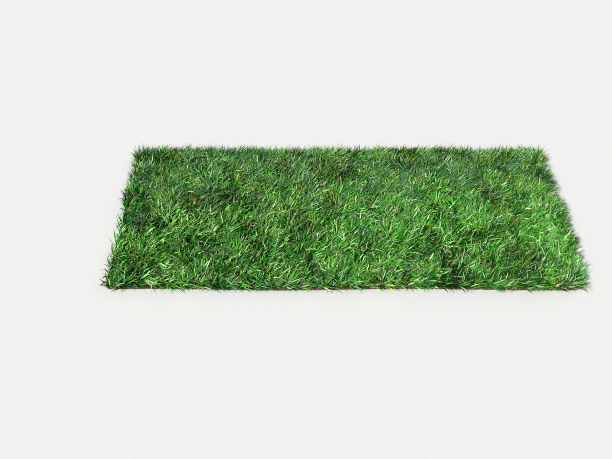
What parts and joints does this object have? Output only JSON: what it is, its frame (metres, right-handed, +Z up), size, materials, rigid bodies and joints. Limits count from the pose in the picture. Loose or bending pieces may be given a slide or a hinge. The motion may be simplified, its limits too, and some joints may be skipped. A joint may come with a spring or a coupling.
{
  "type": "roll of turf, laid out flat",
  "caption": "Lawn turf cut as one roll and laid out flat: mown grass standing on a thin mat of soil and roots, to lie on prepared ground.",
  "frame": {"origin": "middle of the underside of the soil mat, on the ground", "axes": "+X along the roll's length, +Y across its width, +Z up out of the grass"},
  "size_m": [1.659, 0.6317, 0.0556],
  "materials": {
    "soil": "matt, crumbly, bound by pale roots",
    "grass": "matt to satin living blades"
  },
  "bodies": {
    "root": {"soil_mat": "soil", "grass_sward": "grass"}
  },
  "joints": []
}
